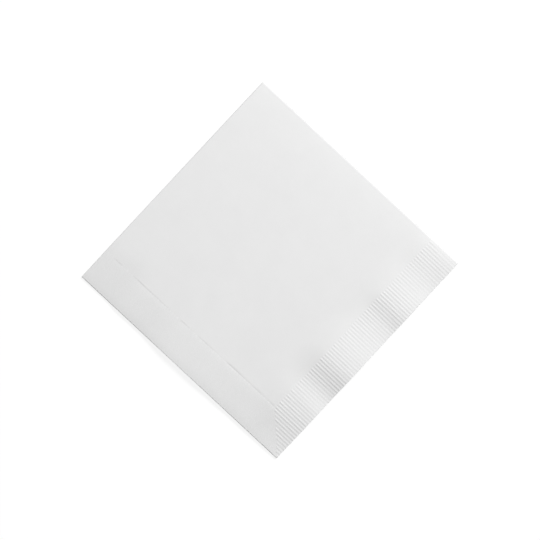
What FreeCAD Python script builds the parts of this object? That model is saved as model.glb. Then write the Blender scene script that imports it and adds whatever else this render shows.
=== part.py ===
"""Paper napkin, quarter-folded, with a ribbed border pressed along its two open sides.

One sheet of tissue is folded twice, so four leaves lie on each other. The first fold closes the side at +Y and
the last fold closes the side at +X. The sides at -X and -Y are open, and their borders are pressed into fine
ribs that stand square to the edge and meet in a mitre at the open corner.

Millimetres. +Z is up, and the origin is the centre of the square, on the surface that the napkin lies on.
"""

import FreeCAD, Part
import os

import Sketcher

DRIVING_SIZES = (
    ("side", 127.0, "side of the folded square"),
    ("leaf_thickness", 0.25, "one leaf of tissue, loose"),
    ("leaf_gap", 0.25, "air between neighbouring leaves"),
    ("border_width", 18.0, "width of the ribbed border"),
    ("rib_spacing", 1.56, "wanted distance from rib to rib"),
    ("rib_height", 0.18, "height of a rib over its valleys"),
)
LEAVES = 4
HALF_TURN = 180.0

# Sizes that follow from the driving ones, as expressions over the sheet.
HALF_SIDE = "(sizes.side / 2)"
LEAF_STEP = "(sizes.leaf_thickness + sizes.leaf_gap)"
FIRST_FOLD_RADIUS = "(sizes.leaf_thickness + sizes.leaf_gap / 2)"
LAST_FOLD_RADIUS = "(2 * sizes.leaf_thickness + 1.5 * sizes.leaf_gap)"
FLAT_LENGTH = f"(sizes.side - {LAST_FOLD_RADIUS})"
RIB_COUNT = f"round({FLAT_LENGTH} / sizes.rib_spacing)"
RIB_PITCH = f"({FLAT_LENGTH} / {RIB_COUNT})"

# The two ends of a line or arc and the centre of an arc, as a sketch numbers them.
START, END, MIDDLE = 1, 2, 3
SKETCH_ORIGIN = (-1, START)


def make_sizes(doc):
    """The sheet that drives everything, with one named size on each row."""
    sheet = doc.addObject("Spreadsheet::Sheet", "sizes")
    for row, (name, value, meaning) in enumerate(DRIVING_SIZES, start=1):
        sheet.set(f"A{row}", name)
        sheet.set(f"B{row}", str(value))
        sheet.set(f"C{row}", meaning)
        sheet.setAlias(f"B{row}", name)
    doc.recompute()


def sketch_on(body, role, name, **shifts):
    """A sketch on an origin plane of the body, shifted along its own x, y or z by expressions."""
    sketch = body.newObject("Sketcher::SketchObject", name)
    plane = next(item for item in body.Origin.OriginFeatures if item.Role == role)
    sketch.AttachmentSupport = [(plane, "")]
    sketch.MapMode = "FlatFace"
    for direction, expression in shifts.items():
        sketch.setExpression(f".AttachmentOffset.Base.{direction}", expression)
    return sketch


def add_half_round(sketch, start, end):
    """Half a circle that bulges to +x between two points, one over the other. Returns it with its end numbers."""
    lower, upper = sorted((start, end), key=lambda point: point.y)
    circle = Part.Circle((lower + upper) / 2, FreeCAD.Vector(0, 0, 1), (upper - lower).Length / 2)
    arc = circle.trim(*(circle.parameter(point) for point in (lower, upper)))
    index = sketch.addGeometry(arc, False)
    return (index, START, END) if start is lower else (index, END, START)


def drive(sketch, expression, kind, *place):
    """A dimension from the sketch's origin that follows the sheet."""
    index = sketch.addConstraint(Sketcher.Constraint(kind, *SKETCH_ORIGIN, *place))
    sketch.setExpression(f"Constraints[{index}]", expression)


def add_outline(sketch, corners, half_rounds=()):
    """A closed outline through corners given as pairs of expressions.

    half_rounds names, by the number of the corner that each starts at, the sides that are half circles.
    """
    points = [FreeCAD.Vector(*map(sketch.evalExpression, corner), 0) for corner in corners]
    pieces = []
    for number, (start, end) in enumerate(zip(points, points[1:] + points[:1])):
        if number in half_rounds:
            pieces.append(add_half_round(sketch, start, end))
        else:
            pieces.append((sketch.addGeometry(Part.LineSegment(start, end), False), START, END))
    for number, (piece, first, last) in enumerate(pieces):
        following, following_first, _ = pieces[(number + 1) % len(pieces)]
        sketch.addConstraint(Sketcher.Constraint("Coincident", piece, last, following, following_first))
        x, y = corners[number]
        drive(sketch, x, "DistanceX", piece, first, points[number].x)
        drive(sketch, y, "DistanceY", piece, first, points[number].y)
        if number in half_rounds:
            drive(sketch, x, "DistanceX", piece, MIDDLE, points[number].x)


def extrude(body, kind, sketch, name, length, **settings):
    """A pad or pocket of a sketch, with its length from the sheet."""
    feature = body.newObject(kind, name)
    feature.Profile = sketch
    for setting, value in settings.items():
        setattr(feature, setting, value)
    feature.setExpression("Length", length)
    return feature


def leaf_pair_corners(fold_outside, fold_inside):
    """The section of two leaves joined by the first fold, seen along the last fold and drawn from its axis.

    fold_outside and fold_inside are where the faces of the outer and the inner side of that fold begin to turn.
    """
    open_edge = f"-{HALF_SIDE}"
    outer_leaf = (f"-{LAST_FOLD_RADIUS}", f"sizes.leaf_thickness - {LAST_FOLD_RADIUS}")
    inner_leaf = (f"-{FIRST_FOLD_RADIUS}", "-sizes.leaf_gap / 2")
    return (
        (open_edge, outer_leaf[0]),
        (fold_outside, outer_leaf[0]),
        (fold_outside, inner_leaf[1]),
        (open_edge, inner_leaf[1]),
        (open_edge, inner_leaf[0]),
        (fold_inside, inner_leaf[0]),
        (fold_inside, outer_leaf[1]),
        (open_edge, outer_leaf[1]),
    )


def make_folded_sheet(doc):
    """The four leaves with both folds, flat, and without the border of the open sides.

    Two leaves joined by the first fold are a long U in section, laid down once below the axis of the last fold
    and once above it. The last fold turns such a U about that axis, and its end, where both folds meet at one
    corner, is pressed square.
    """
    body = doc.addObject("PartDesign::Body", "folded_sheet")
    last_fold_axis = {"y": LAST_FOLD_RADIUS, "z": f"{HALF_SIDE} - {LAST_FOLD_RADIUS}"}
    section = sketch_on(body, "YZ_Plane", "first_fold_section", **last_fold_axis)
    fold_axis = f"{HALF_SIDE} - {FIRST_FOLD_RADIUS}"
    add_outline(section, leaf_pair_corners(fold_axis, fold_axis), half_rounds=(1, 5))
    lower_pair = extrude(body, "PartDesign::Pad", section, "lower_pair", FLAT_LENGTH, Reversed=True)

    upper_pair = body.newObject("PartDesign::Mirrored", "upper_pair")
    upper_pair.Originals = [lower_pair]
    upper_pair.MirrorPlane = (section, ["H_Axis"])
    body.Tip = upper_pair

    turned_section = sketch_on(body, "YZ_Plane", "last_fold_section", **last_fold_axis)
    inside_of_fold = f"{HALF_SIDE} - sizes.leaf_thickness"
    add_outline(turned_section, leaf_pair_corners(HALF_SIDE, inside_of_fold))
    last_fold = body.newObject("PartDesign::Revolution", "last_fold")
    last_fold.Profile = turned_section
    last_fold.ReferenceAxis = (turned_section, ["H_Axis"])
    last_fold.Angle = HALF_TURN
    last_fold.Reversed = True

    room = sketch_on(body, "XY_Plane", "border_outline")
    outer = f"-{HALF_SIDE}"
    inner = f"sizes.border_width - {HALF_SIDE}"
    far = f"{HALF_SIDE} - {LAST_FOLD_RADIUS}"
    add_outline(room, ((outer, outer), (far, outer), (far, inner), (inner, inner), (inner, far), (outer, far)))
    extrude(body, "PartDesign::Pocket", room, "border_room", "sizes.side", SideType="Symmetric")
    return body


def make_ribbed_border(doc):
    """The ribbed border of the open side at -Y in all four leaves, mitred at the open corner."""
    body = doc.addObject("PartDesign::Body", "ribbed_border")
    section = sketch_on(body, "XZ_Plane", "rib_section", x=f"-{HALF_SIDE}", z=HALF_SIDE)
    corners = (
        ("0", "0"),
        (f"{RIB_PITCH} / 2", "sizes.rib_height"),
        (RIB_PITCH, "0"),
        (RIB_PITCH, "sizes.leaf_thickness"),
        (f"{RIB_PITCH} / 2", "sizes.leaf_thickness + sizes.rib_height"),
        ("0", "sizes.leaf_thickness"),
    )
    add_outline(section, corners)
    rib = extrude(body, "PartDesign::Pad", section, "rib", "sizes.border_width", Reversed=True)

    ribs = body.newObject("PartDesign::LinearPattern", "ribs_in_all_leaves")
    ribs.Originals = [rib]
    ribs.Direction = (section, ["H_Axis"])
    ribs.setExpression("Occurrences", RIB_COUNT)
    ribs.setExpression("Length", f"{FLAT_LENGTH} - {RIB_PITCH}")
    ribs.Direction2 = (section, ["V_Axis"])
    ribs.Occurrences2 = LEAVES
    ribs.setExpression("Length2", f"{LEAVES - 1} * {LEAF_STEP}")
    body.Tip = ribs

    beyond_mitre = sketch_on(body, "XY_Plane", "mitre_outline")
    outer = f"-{HALF_SIDE}"
    inner = f"sizes.border_width - {HALF_SIDE}"
    add_outline(beyond_mitre, ((outer, outer), (inner, inner), (outer, inner)))
    extrude(body, "PartDesign::Pocket", beyond_mitre, "mitre", "sizes.side", SideType="Symmetric")
    return body


def mirror_over_diagonal(doc, border):
    """The border of the open side at -X: the other one, mirrored over the diagonal through the open corner."""
    mirrored = doc.addObject("Part::Mirroring", "ribbed_border_mirrored")
    mirrored.Source = border
    mirrored.Normal = FreeCAD.Vector(1, -1, 0)
    return mirrored


def make_napkin(doc):
    """The whole napkin as the one piece of paper that it is."""
    sheet = make_folded_sheet(doc)
    border = make_ribbed_border(doc)
    napkin = doc.addObject("Part::MultiFuse", "napkin")
    napkin.Shapes = [sheet, border, mirror_over_diagonal(doc, border)]
    napkin.Label = "napkin"
    return napkin


def check(doc, piece):
    """Stops with a plain message if anything in the document failed or the piece isn't one sound solid."""
    for item in doc.Objects:
        failed = {"Invalid", "Error"} & set(item.State)
        if failed:
            raise RuntimeError(f"{item.Name} failed to build: {item.State}")
    shape = piece.Shape
    if shape.isNull() or not shape.isValid() or len(shape.Solids) != 1:
        raise RuntimeError(f"{piece.Label} isn't one sound solid")


def main():
    doc = FreeCAD.newDocument("paper_napkin")
    make_sizes(doc)
    napkin = make_napkin(doc)
    doc.recompute()
    check(doc, napkin)
    os.makedirs("parts", exist_ok=True)
    napkin.Shape.exportStep(f"parts/{napkin.Label}.step")


main()
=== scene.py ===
"""The looks of the paper napkin: one sheet of white tissue, folded in four, with ribbed open borders.

The paper is one closed mesh. It is worked out in millimetres from the open corner: p runs from the open side
at -X to the last fold at +X, q runs from the open side at -Y to the first fold at +Y, and z is height.
"""

import math

import bmesh
import bpy
from mathutils import Matrix, Vector, noise


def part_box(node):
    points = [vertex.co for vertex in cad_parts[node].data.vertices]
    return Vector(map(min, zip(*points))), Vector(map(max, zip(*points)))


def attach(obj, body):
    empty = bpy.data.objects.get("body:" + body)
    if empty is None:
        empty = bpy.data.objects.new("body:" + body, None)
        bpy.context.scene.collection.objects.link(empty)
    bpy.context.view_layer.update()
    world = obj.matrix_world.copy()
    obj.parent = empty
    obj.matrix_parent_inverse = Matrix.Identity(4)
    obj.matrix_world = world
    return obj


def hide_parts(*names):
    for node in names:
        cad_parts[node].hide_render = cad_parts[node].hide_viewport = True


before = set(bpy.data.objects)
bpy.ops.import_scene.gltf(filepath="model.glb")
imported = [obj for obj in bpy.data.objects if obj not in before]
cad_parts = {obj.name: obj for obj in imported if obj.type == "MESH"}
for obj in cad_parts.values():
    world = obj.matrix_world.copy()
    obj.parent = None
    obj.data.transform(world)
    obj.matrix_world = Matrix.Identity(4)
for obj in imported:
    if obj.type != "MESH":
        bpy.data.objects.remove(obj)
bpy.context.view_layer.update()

MM = 0.001
X_AXIS, Y_AXIS = 0, 1

# The folded square, from the frame.
LOW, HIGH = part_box("napkin")
SIDE = (HIGH[0] - LOW[0]) / MM

# The leaves and their folds. The eight faces are numbered from the bottom.
LEAVES = 4
BOTTOM_FACE, TOP_FACE = 0, 2 * LEAVES - 1
FACES_OF_A_PAIR = 4
LEAF_THICKNESS = 0.25
FIRST_FOLD_REACH = 0.4
LAST_FOLD_REACH = 0.32
FLAT_P = SIDE - LAST_FOLD_REACH
FLAT_Q = SIDE - FIRST_FOLD_REACH
LEAF_SET_BACK = (0.0, 0.1, 0.2, 0.28)
SET_BACK_SHARE_AT_RIBBED_EDGE = 0.5

# How the loose stack of leaves thins towards its sides. What changes along a side is given at its crests and
# troughs, as (place in millimetres from the open corner, value). These and the lists below were adjusted
# until the brightness measured along the render's borders agreed with that of the picture.
EDGE_STACK = 1.2
LOFT = 2.1
LOFT_LOST_IN_OPEN_BORDER = (
    (0, 0.3), (30, 0.34), (40, 0.1), (60, 0.2), (72, 0.1), (100, 0.3), (113, 0.75), (127, 0.7),
)
OPEN_BORDER_BEND = ((0, 18), (60, 15), (80, 15), (95, 18), (112, 23), (127, 21))
BEND_LENGTH = 8.0
LOFT_LOST_AT_OPEN_EDGE = (
    (0, 0.35), (28, 0.3), (40, 0.4), (60, 0.0), (72, 0.1), (88, 0.5), (112, 0.25), (127, 0.3),
)
OPEN_EDGE_SLOPE_LENGTH = 24.0
EDGE_DROP = 0.15
EDGE_DROP_LENGTH = 1.0
RIBBED_EDGE_SLOPE_LENGTH = 13.0
LOFT_LOST_AT_LAST_FOLD = 0.42
LOFT_LOST_AT_FIRST_FOLD = 0.3
FOLD_SLOPE_LENGTH = 12.0

# The ribbed borders. Their strength is given at the open edge. Further in, part of what it lacks comes back.
RIBS = 81
RIB_PITCH = 1.557
BORDER_IN_RIBS = 11.5
BORDER = BORDER_IN_RIBS * RIB_PITCH
RIB_HEIGHT = 0.085
RIB_SHARE_AT_OPEN_SIDE = 0.55
RIB_STRENGTH = (
    (0, 0.8), (20, 1.0), (33, 0.2), (45, 1.0), (63, 0.25), (75, 0.4),
    (91, 1.0), (105, 0.15), (119, 0.7), (127, 0.2),
)
RIB_STRENGTH_REGAINED = 0.5

# How the ribs vary: uneven along their length, and raised at inner ends that don't quite line up.
UNEVENNESS = 1.1
UNEVENNESS_LENGTH = 1.7
UNEVENNESS_LENGTH_AT_OPEN_SIDE = 8.0
UNEVENNESS_NOISE = 3.1
RIB_END_LENGTH = 0.9
RIB_END_BOOST = 0.5
RIB_END_BOOST_PLACE = 1.5
RIB_END_WOBBLE = 0.35
RIB_END_GRAIN = 2.6
RIB_END_NOISE = 5.7

# The pressed line along the inside of the border at -X: a small step up from the border, weak in places.
CREASE_PLACE = ((0, 17.6), (40, 17.6), (80, 17.2))
CREASE_WIDTH = 0.75
CREASE_DEPTH = 0.08
CREASE_DEPTH_LENGTH = 1.6
CREASE_RISE = 0.06
CREASE_RISE_LENGTH = 2.5
CREASE_STRENGTH = (
    (0, 0.7), (18, 0.7), (24, 0.2), (29, 0.7), (33, 0.4), (46, 1.0), (51, 0.1), (63, 0.6),
    (69, 0.1), (77, 0.7), (80, 0.0), (90, 0.5), (103, 0.8), (113, 0.0), (119, 0.8), (123, 0.0),
)

# How the ribbed edge at -Y lifts off the surface.
RIBBED_EDGE_WAVE = (
    (0, 0.0), (27, 1.3), (37, 0.8), (53, 2.4), (81, 0.75),
    (91.5, 1.45), (112, 0.35), (123, 0.5), (127, 0.35),
)
WAVE_FULL_UNTIL = 12.0
WAVE_GONE_AT = 30.0
WAVE_FLARE = 0.35

# How finely the mesh follows the paper: finest in the borders of the leaf that shows. Rows are shares of the
# border's width. The grid of the inside is in ribs from the open sides, closest beside the borders and folds.
TOP_SAMPLES_PER_RIB = 8
HIDDEN_SAMPLES_PER_RIB = 2
ROWS_TO_CREASE = 9
ROWS_AT_CREASE = (0.925, 0.94, 0.95, 0.96, 0.968, 0.976, 0.984, 1.0)
BORDER_ROWS = (*(ROWS_AT_CREASE[0] * row / ROWS_TO_CREASE for row in range(ROWS_TO_CREASE)), *ROWS_AT_CREASE)
INSIDE_GRID = (BORDER_IN_RIBS, 12, 13, 14, *range(16, 76, 2), *range(76, RIBS), RIBS - 0.5, RIBS)
OUTER_FOLD_STEPS = 10
INNER_FOLD_STEPS = 4
SHARP_ANGLE = 50.0
SAME_PLACE = 0.001
PLACE_DIGITS = 4

# The tissue. Scales are in features to the metre and heights in metres.
CLOUD_SCALE = 90.0
CLOUD_GREYS = ((0.3, 0.822), (0.7, 0.838))
CREPE_SCALE = 1500.0
CREPE_STRETCH = (1.0, 3.2, 1.0)
CREPE_HEIGHT = 0.00006
CREPE_STRENGTH = 0.7
FIBRE_SCALE = 2600.0
FIBRE_HEIGHT = 0.00004
FIBRE_STRENGTH = 0.45
ROUGHNESS = 0.92
SHEEN = 0.08

# The studio, in metres, degrees and watts, with levels that make the paper as bright as in the picture.
FLOOR_SIZE = 2.0
FLOOR_COLOUR = 0.5
FLOOR_GLOW = 1.31
FLOOR_GLOW_SHARE = 0.65
FILL_LIGHT = 0.336
KEY_ELEVATION = 42.0
KEY_DISTANCE = 2.4
KEY_SIZE = 0.9
KEY_POWER = 55.0

# The view, as measured in the picture of 540 by 540 pixels.
PICTURE_PIXELS = 540
MIDDLE_PIXEL = (PICTURE_PIXELS - 1) / 2
SIDE_IN_PIXELS = 266.8
CENTRE_PIXEL = (269.38, 269.59)
VIEW_TURN = 47.04
LENS = 150.0
SENSOR_WIDTH = 36.0


def smooth(x):
    """From 0 to 1 as x goes from 0 to 1, level at both ends."""
    x = min(max(x, 0.0), 1.0)
    return x * x * (3.0 - 2.0 * x)


def value_along(wave, place):
    """A value between its crests and troughs, as half cosines. It stays the same after the last of them."""
    for (start, first), (end, last) in zip(wave, wave[1:]):
        if place <= end:
            return first + (last - first) * (1.0 - math.cos(math.pi * (place - start) / (end - start))) / 2.0
    return wave[-1][1]


def uneven(*place):
    """Soft noise from about -1 to 1, the same in each run."""
    return noise.noise(Vector(place))


def lift(p, q):
    """Height of the napkin's underside over the surface that it lies on."""
    share = 1.0 - smooth((q - WAVE_FULL_UNTIL) / (WAVE_GONE_AT - WAVE_FULL_UNTIL))
    flare = 1.0 + WAVE_FLARE * max(1.0 - q / WAVE_FULL_UNTIL, 0.0)
    return value_along(RIBBED_EDGE_WAVE, p) * share * flare


def risen(place, bend):
    """From 0 to 1 in a straight slope that bends to level round the place of the bend."""
    start = bend - BEND_LENGTH / 2.0
    turned = min(max((place - start) / BEND_LENGTH, 0.0), 1.0)
    return (min(place, start) + BEND_LENGTH * (turned - turned**3 + turned**4 / 2.0)) / bend


def stack_height(p, q):
    """From the underside of the lowest leaf to the top of the highest, without the ribs."""
    lost = value_along(LOFT_LOST_IN_OPEN_BORDER, q) * (1.0 - risen(p, value_along(OPEN_BORDER_BEND, q)))
    lost += value_along(LOFT_LOST_AT_OPEN_EDGE, q) * math.exp(-p / OPEN_EDGE_SLOPE_LENGTH)
    loft = LOFT * (1.0 - lost)
    loft -= EDGE_DROP * math.exp(-p / EDGE_DROP_LENGTH)
    loft *= 1.0 - math.exp(-q / RIBBED_EDGE_SLOPE_LENGTH)
    loft *= 1.0 - LOFT_LOST_AT_LAST_FOLD * math.exp((p - FLAT_P) / FOLD_SLOPE_LENGTH)
    loft *= 1.0 - LOFT_LOST_AT_FIRST_FOLD * math.exp((q - FLAT_Q) / FOLD_SLOPE_LENGTH)
    return EDGE_STACK + loft


def rib_height(p, q):
    """Height of the ribs, which varies. They stand square to the nearer open edge and end with the border."""
    along, across = max(p, q), min(p, q)
    if along > RIBS * RIB_PITCH:
        return 0.0
    length, share = UNEVENNESS_LENGTH, 1.0
    if q >= p:
        length, share = UNEVENNESS_LENGTH_AT_OPEN_SIDE, RIB_SHARE_AT_OPEN_SIDE
    strength = value_along(RIB_STRENGTH, along)
    strength += (1.0 - strength) * RIB_STRENGTH_REGAINED * across / BORDER
    unevenness = UNEVENNESS * uneven(along / RIB_PITCH, across / length, UNEVENNESS_NOISE)
    height = RIB_HEIGHT * share * strength * (1.0 + unevenness)
    from_end = BORDER - across - RIB_END_WOBBLE * (1.0 + uneven(along / RIB_END_GRAIN, RIB_END_NOISE, 0.0))
    from_end /= RIB_END_LENGTH
    height *= 1.0 + RIB_END_BOOST * math.exp(-((from_end - RIB_END_BOOST_PLACE) ** 2))
    height *= smooth(from_end)
    return height * (1.0 - math.cos(2.0 * math.pi * along / RIB_PITCH)) / 2.0


def crease_height(p, q):
    """A small step up from the border at -X, which comes and goes along it and levels out on both sides."""
    if q < BORDER:
        return 0.0
    inward = p - value_along(CREASE_PLACE, q)
    step = smooth(inward / CREASE_WIDTH + 0.5)
    above = CREASE_RISE * step * math.exp(-max(inward, 0.0) / CREASE_RISE_LENGTH)
    below = CREASE_DEPTH * (1.0 - step) * math.exp(min(inward, 0.0) / CREASE_DEPTH_LENGTH)
    return value_along(CREASE_STRENGTH, q) * (above - below)


def surface_height(p, q, level):
    """Height of one of the eight faces of the leaves. Even levels are undersides and odd ones are tops."""
    stack = stack_height(p, q)
    leaf, is_top = divmod(level, 2)
    gap = (stack - LEAVES * LEAF_THICKNESS) / (LEAVES - 1)
    in_stack = leaf * (LEAF_THICKNESS + gap) + is_top * LEAF_THICKNESS
    crease = crease_height(p, q) * leaf / (LEAVES - 1)
    return lift(p, q) + in_stack + rib_height(p, q) + crease


def side_by_side(first, second, place):
    """Triangles between two chains of points that run side by side, wherever their points lie."""
    faces = []
    i = j = 0
    while i + 1 < len(first) or j + 1 < len(second):
        first_is_next = j + 1 == len(second) or (
            i + 1 < len(first) and place(first[i + 1]) <= place(second[j + 1])
        )
        if first_is_next:
            faces.append((first[i], first[i + 1], second[j]))
            i += 1
        else:
            faces.append((first[i], second[j + 1], second[j]))
            j += 1
    return faces


class Plan:
    """Where the points of a leaf lie, seen from above, and the faces between them."""

    def __init__(self, samples_per_rib):
        self.places = []
        self.numbers = {}
        self.faces = []
        fine = [RIB_PITCH * step / samples_per_rib for step in range(RIBS * samples_per_rib + 1)]
        fine_p, fine_q = fine + [FLAT_P], fine + [FLAT_Q]
        self.add_border(fine_p, swapped=False)
        self.add_border(fine_q, swapped=True)
        coarse = [rib * RIB_PITCH for rib in INSIDE_GRID]
        self.add_middle(coarse + [FLAT_P], coarse + [FLAT_Q], fine_p, fine_q)
        self.last_fold_edge = self.line(X_AXIS, FLAT_P)
        self.first_fold_edge = self.line(Y_AXIS, FLAT_Q)
        self.open_edge = self.line(X_AXIS, 0.0)
        self.ribbed_edge = self.line(Y_AXIS, 0.0)

    def point(self, p, q):
        """The number of the point at a place, which is added where there is none yet."""
        key = (round(p, PLACE_DIGITS), round(q, PLACE_DIGITS))
        if key not in self.numbers:
            self.numbers[key] = len(self.places)
            self.places.append((p, q))
        return self.numbers[key]

    def add_face(self, corners):
        """Adds a face without the corners that coincide."""
        kept = list(dict.fromkeys(corners))
        if len(kept) > 2:
            self.faces.append(kept)

    def add_border(self, fine, swapped):
        """Columns of faces across one border, shorter before the mitre. swapped makes the border at -X."""
        columns = []
        for along in fine:
            length = min(along, BORDER)
            across = [share * length for share in BORDER_ROWS]
            columns.append([self.point(*((d, along) if swapped else (along, d))) for d in across])
        for left, right in zip(columns, columns[1:]):
            for row in range(len(BORDER_ROWS) - 1):
                corners = (left[row], right[row], right[row + 1], left[row + 1])
                self.add_face(corners[::-1] if swapped else corners)

    def add_middle(self, coarse_p, coarse_q, fine_p, fine_q):
        """The plain inside of a leaf, joined to the finer points along both borders."""
        for p, next_p in zip(coarse_p[1:], coarse_p[2:]):
            for q, next_q in zip(coarse_q[1:], coarse_q[2:]):
                corners = ((p, q), (next_p, q), (next_p, next_q), (p, next_q))
                self.add_face([self.point(*corner) for corner in corners])
        start, inside = coarse_p[0], coarse_p[1]

        # Beside the border at -Y.
        below = [self.point(p, start) for p in fine_p if p > inside - SAME_PLACE]
        above = [self.point(p, inside) for p in coarse_p[1:]]
        for face in side_by_side(below, above, lambda number: self.places[number][0]):
            self.add_face(face)

        # Beside the border at -X.
        left = [self.point(start, q) for q in fine_q if q > inside - SAME_PLACE]
        right = [self.point(inside, q) for q in coarse_q[1:]]
        for face in side_by_side(left, right, lambda number: self.places[number][1]):
            self.add_face(face[::-1])

        # Round the inner end of the mitre.
        apex = self.point(inside, inside)
        low, high = start - SAME_PLACE, inside + SAME_PLACE
        corner_p = [self.point(p, start) for p in fine_p if low < p < high]
        corner_q = [self.point(start, q) for q in fine_q if low < q < high]
        for first, second in zip(corner_p, corner_p[1:]):
            self.add_face((first, second, apex))
        for first, second in zip(corner_q, corner_q[1:]):
            self.add_face((second, first, apex))

    def line(self, axis, value):
        """The points with one coordinate in common, in order of the other."""
        numbers = [n for n, place in enumerate(self.places) if abs(place[axis] - value) < SAME_PLACE]
        return sorted(numbers, key=lambda n: self.places[n][1 - axis])


class Paper:
    """The points and faces of the sheet's one closed surface."""

    def __init__(self):
        self.points = []
        self.faces = []
        top, hidden = Plan(TOP_SAMPLES_PER_RIB), Plan(HIDDEN_SAMPLES_PER_RIB)
        self.plans = [top if level // 2 == LEAVES - 1 else hidden for level in range(2 * LEAVES)]
        self.levels = [self.add_leaf_face(level) for level in range(2 * LEAVES)]
        for leaf in range(LEAVES):
            self.add_rims(leaf)
        lower_arcs = self.add_first_fold(BOTTOM_FACE, 1)
        upper_arcs = self.add_first_fold(TOP_FACE, -1)
        self.add_last_fold(lower_arcs, upper_arcs)

    def add_point(self, p, q, z):
        """Adds a point given in millimetres from the open corner, and returns its number."""
        self.points.append(((p - SIDE / 2) * MM, (q - SIDE / 2) * MM, z * MM))
        return len(self.points) - 1

    def add_strip(self, first, second):
        """Faces between two chains with as many points each."""
        for a, b, c, d in zip(first, first[1:], second[1:], second):
            corners = list(dict.fromkeys((a, b, c, d)))
            if len(corners) > 2:
                self.faces.append(corners)

    def add_leaf_face(self, level):
        """One face of a leaf. The upper leaves end a little further in at the open edges."""
        plan, set_back = self.plans[level], LEAF_SET_BACK[level // 2]
        numbers = []
        for p, q in plan.places:
            in_p, in_q = (set_back * max(1.0 - distance / BORDER, 0.0) for distance in (p, q))
            in_q *= SET_BACK_SHARE_AT_RIBBED_EDGE
            numbers.append(self.add_point(p + in_p, q + in_q, surface_height(p, q, level)))
        for face in plan.faces:
            self.faces.append([numbers[corner] for corner in face])
        return numbers

    def chain(self, level, name):
        """The points of one face of a leaf along one of its sides."""
        return [self.levels[level][number] for number in getattr(self.plans[level], name)]

    def add_rims(self, leaf):
        """The cut edges of a leaf, along both open sides."""
        for name in ("open_edge", "ribbed_edge"):
            self.add_strip(self.chain(2 * leaf, name), self.chain(2 * leaf + 1, name))

    def add_turned_chains(self, starts, ends, steps, axis, reach):
        """Chains of points that turn from one chain to another, and reach out along an axis on the way."""
        chains = [starts]
        for step in range(1, steps):
            angle = math.pi * step / steps
            chain = []
            for start, end, its_reach in zip(starts, ends, reach, strict=True):
                share = (1.0 - math.cos(angle)) / 2.0
                place = Vector(self.points[start]).lerp(Vector(self.points[end]), share)
                place[axis] += its_reach * MM * math.sin(angle)
                self.points.append(tuple(place))
                chain.append(len(self.points) - 1)
            chains.append(chain)
        chains.append(ends)
        return chains

    def add_half_round(self, start_level, end_level, steps, reach):
        """The turn of one face of the paper about the first fold, as chains from one leaf to the other."""
        starts = self.chain(start_level, "first_fold_edge")
        ends = self.chain(end_level, "first_fold_edge")
        chains = self.add_turned_chains(starts, ends, steps, Y_AXIS, [reach] * len(starts))
        for first, second in zip(chains, chains[1:]):
            self.add_strip(first, second)
        return chains

    def add_first_fold(self, outside, inward):
        """The first fold of one pair of leaves, from the napkin's outermost face.

        inward is the step from one face to the next, towards the middle of the napkin. Returns the outer and
        the inner arc of points that this fold has where the last fold begins.
        """
        far_side = outside + (FACES_OF_A_PAIR - 1) * inward
        outer = self.add_half_round(outside, far_side, OUTER_FOLD_STEPS, FIRST_FOLD_REACH)
        inner_reach = FIRST_FOLD_REACH - LEAF_THICKNESS
        inner = self.add_half_round(outside + inward, far_side - inward, INNER_FOLD_STEPS, inner_reach)
        outer_end, inner_end = [chain[0] for chain in outer], [chain[0] for chain in inner]
        height = {number: self.points[number][2] * inward for number in outer_end + inner_end}
        self.faces.extend(side_by_side(outer_end, inner_end, height.get))
        return [chain[-1] for chain in outer], [chain[-1] for chain in inner]

    def loop_at_last_fold(self, arcs, outside, inward):
        """The closed outline of one pair of leaves where the last fold begins."""
        outer_arc, inner_arc = arcs
        levels = [outside + step * inward for step in range(FACES_OF_A_PAIR)]
        first, second, third, fourth = (self.chain(level, "last_fold_edge") for level in levels)
        outer_way = first + outer_arc[1:-1] + fourth[::-1]
        inner_way = third + inner_arc[1:-1][::-1] + second[::-1]
        return outer_way + inner_way

    def add_last_fold(self, lower_arcs, upper_arcs):
        """Turns the outline of the lower pair of leaves about the last fold, up to that of the upper pair."""
        lower = self.loop_at_last_fold(lower_arcs, BOTTOM_FACE, 1)
        upper = self.loop_at_last_fold(upper_arcs, TOP_FACE, -1)
        heights = [self.points[end][2] - self.points[start][2] for start, end in zip(lower, upper)]
        reach = [LAST_FOLD_REACH * height / max(heights) for height in heights]
        rings = self.add_turned_chains(lower, upper, OUTER_FOLD_STEPS, X_AXIS, reach)
        for first, second in zip(rings, rings[1:]):
            self.add_strip(first + first[:1], second + second[:1])

    def make_object(self):
        """The surface as an object that isn't in the scene yet."""
        mesh = bpy.data.meshes.new("napkin_paper")
        mesh.from_pydata(self.points, [], self.faces)
        mesh.validate()
        return bpy.data.objects.new("napkin_paper", mesh)


def finish_shading(piece):
    """Makes the mesh's faces point out, smooth but for the cut edges."""
    mesh = piece.data
    work = bmesh.new()
    work.from_mesh(mesh)
    bmesh.ops.recalc_face_normals(work, faces=work.faces)
    work.to_mesh(mesh)
    work.free()
    mesh.shade_smooth()
    mesh.set_sharp_from_angle(angle=math.radians(SHARP_ANGLE))


class Nodes:
    """A material's node tree, with short calls to add nodes to it."""

    def __init__(self, name):
        self.material = bpy.data.materials.new(name)
        self.material.use_nodes = True
        self.tree = self.material.node_tree
        self.tree.nodes.clear()

    def add(self, kind, inputs=None, **settings):
        """A node of a kind. inputs holds a value, or another node's output, for each named socket."""
        node = self.tree.nodes.new(kind)
        for setting, value in settings.items():
            setattr(node, setting, value)
        for name, value in (inputs or {}).items():
            if isinstance(value, bpy.types.NodeSocket):
                self.tree.links.new(value, node.inputs[name])
            else:
                node.inputs[name].default_value = value
        return node


def grey(level):
    """An even colour from 0, black, to 1, white."""
    return (level, level, level, 1.0)


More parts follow.
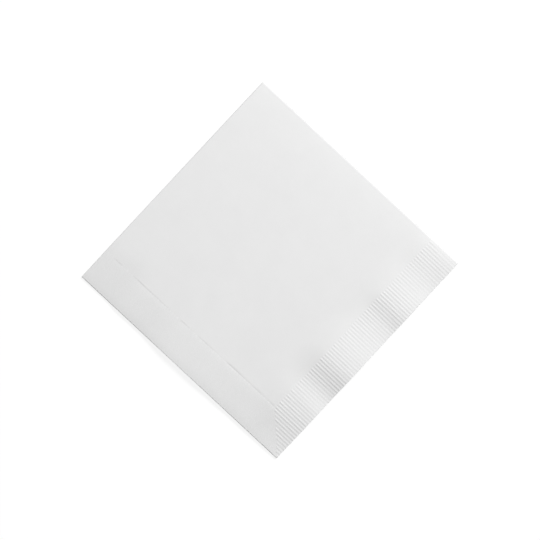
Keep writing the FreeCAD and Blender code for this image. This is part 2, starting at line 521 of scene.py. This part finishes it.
def tissue_material():
    """White creped tissue: matt, softly clouded, with fine crepe lines and loose fibres."""
    nodes = Nodes("tissue")
    place = nodes.add("ShaderNodeTexCoord").outputs["Object"]

    clouds = nodes.add(
        "ShaderNodeTexNoise", {"Vector": place, "Scale": CLOUD_SCALE, "Detail": 4.0, "Roughness": 0.6}
    )
    colour = nodes.add("ShaderNodeValToRGB", {"Fac": clouds.outputs["Fac"]})
    for stop, (position, level) in zip(colour.color_ramp.elements, CLOUD_GREYS):
        stop.position = position
        stop.color = grey(level)

    stretched = nodes.add("ShaderNodeMapping", {"Vector": place, "Scale": CREPE_STRETCH}).outputs["Vector"]
    crepe = nodes.add(
        "ShaderNodeTexNoise", {"Vector": stretched, "Scale": CREPE_SCALE, "Detail": 3.0, "Roughness": 0.55}
    )
    crepe_bump = nodes.add(
        "ShaderNodeBump",
        {"Height": crepe.outputs["Fac"], "Strength": CREPE_STRENGTH, "Distance": CREPE_HEIGHT},
    )

    fibres = nodes.add(
        "ShaderNodeTexVoronoi",
        {"Vector": place, "Scale": FIBRE_SCALE, "Randomness": 1.0},
        feature="DISTANCE_TO_EDGE",
    )
    fibre_bump = nodes.add(
        "ShaderNodeBump",
        {
            "Height": fibres.outputs["Distance"],
            "Strength": FIBRE_STRENGTH,
            "Distance": FIBRE_HEIGHT,
            "Normal": crepe_bump.outputs["Normal"],
        },
    )

    paper = nodes.add(
        "ShaderNodeBsdfPrincipled",
        {
            "Base Color": colour.outputs["Color"],
            "Roughness": ROUGHNESS,
            "Specular IOR Level": 0.2,
            "Sheen Weight": SHEEN,
            "Sheen Roughness": 0.6,
            "Normal": fibre_bump.outputs["Normal"],
        },
    )
    nodes.add("ShaderNodeOutputMaterial", {"Surface": paper.outputs["BSDF"]})
    return nodes.material


def seen_as_background(tree):
    """1 where the eye, a reflection or a clear material sees what lies behind the object, and 0 elsewhere."""
    ray = tree.nodes.new("ShaderNodeLightPath")
    seen = ray.outputs["Is Camera Ray"]
    for kind in ("Is Glossy Ray", "Is Transmission Ray"):
        either = tree.nodes.new("ShaderNodeMath")
        either.operation = "MAXIMUM"
        tree.links.new(seen, either.inputs[0])
        tree.links.new(ray.outputs[kind], either.inputs[1])
        seen = either.outputs["Value"]
    return seen


def floor_material():
    """A pale surface that keeps the shadow, with a share of plain white where it is seen as background."""
    nodes = Nodes("floor")
    share = nodes.add(
        "ShaderNodeMath", {0: seen_as_background(nodes.tree), 1: FLOOR_GLOW_SHARE}, operation="MULTIPLY"
    )
    matt = nodes.add("ShaderNodeBsdfDiffuse", {"Color": grey(FLOOR_COLOUR)})
    glow = nodes.add("ShaderNodeEmission", {"Strength": FLOOR_GLOW})
    both = nodes.add(
        "ShaderNodeMixShader",
        {0: share.outputs["Value"], 1: matt.outputs["BSDF"], 2: glow.outputs["Emission"]},
    )
    nodes.add("ShaderNodeOutputMaterial", {"Surface": both.outputs["Shader"]})
    return nodes.material


def link(thing):
    """Puts an object into the scene and returns it."""
    bpy.context.scene.collection.objects.link(thing)
    return thing


def make_napkin():
    """The whole sheet of paper, in place of the plain solid."""
    napkin = link(Paper().make_object())
    finish_shading(napkin)
    napkin.data.materials.append(tissue_material())
    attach(napkin, "root")
    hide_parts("napkin")


def make_floor():
    """The surface that the napkin lies on."""
    mesh = bpy.data.meshes.new("floor")
    edge = FLOOR_SIZE / 2
    corners = [(-edge, -edge, 0), (edge, -edge, 0), (edge, edge, 0), (-edge, edge, 0)]
    mesh.from_pydata(corners, [], [(0, 1, 2, 3)])
    mesh.materials.append(floor_material())
    link(bpy.data.objects.new("floor", mesh))


def make_world():
    """Soft light from all round, and plain white where it is seen as background."""
    world = bpy.data.worlds.new("studio")
    world.use_nodes = True
    tree = world.node_tree
    background = tree.nodes["Background"]
    strength = tree.nodes.new("ShaderNodeMapRange")
    strength.inputs["To Min"].default_value = FILL_LIGHT
    strength.inputs["To Max"].default_value = 1.0
    tree.links.new(seen_as_background(tree), strength.inputs["Value"])
    tree.links.new(strength.outputs["Result"], background.inputs["Strength"])
    background.inputs["Color"].default_value = grey(1.0)
    bpy.context.scene.world = world


def make_key_light():
    """One broad soft lamp on the side of the last fold."""
    light = bpy.data.lights.new("key", "AREA")
    light.shape = "DISK"
    light.size = KEY_SIZE
    light.energy = KEY_POWER
    lamp = link(bpy.data.objects.new("key", light))
    height = math.radians(KEY_ELEVATION)
    direction = Vector((math.cos(height), 0.0, math.sin(height)))
    lamp.location = direction * KEY_DISTANCE
    lamp.rotation_euler = direction.to_track_quat("Z", "Y").to_euler()


def make_camera():
    """Straight above, turned so that the open corner is the lowest in the picture."""
    data = bpy.data.cameras.new("camera")
    data.lens = LENS
    data.sensor_width = SENSOR_WIDTH
    camera = link(bpy.data.objects.new("camera", data))
    turn = math.radians(VIEW_TURN)
    right = Vector((math.cos(turn), -math.sin(turn), 0.0))
    up = Vector((math.sin(turn), math.cos(turn), 0.0))
    metres_per_pixel = SIDE * MM / SIDE_IN_PIXELS
    view_width = PICTURE_PIXELS * metres_per_pixel
    across, down = CENTRE_PIXEL
    aim = metres_per_pixel * (right * (MIDDLE_PIXEL - across) + up * (down - MIDDLE_PIXEL))
    above = Vector((0.0, 0.0, 1.0))
    height = view_width * LENS / SENSOR_WIDTH + HIGH[2]
    axes = Matrix((right, up, above)).transposed().to_4x4()
    camera.matrix_world = Matrix.Translation(aim + above * height) @ axes
    bpy.context.scene.camera = camera


def main():
    make_napkin()
    make_floor()
    make_world()
    make_key_light()
    make_camera()
    bpy.context.scene.view_settings.view_transform = "Standard"


main()
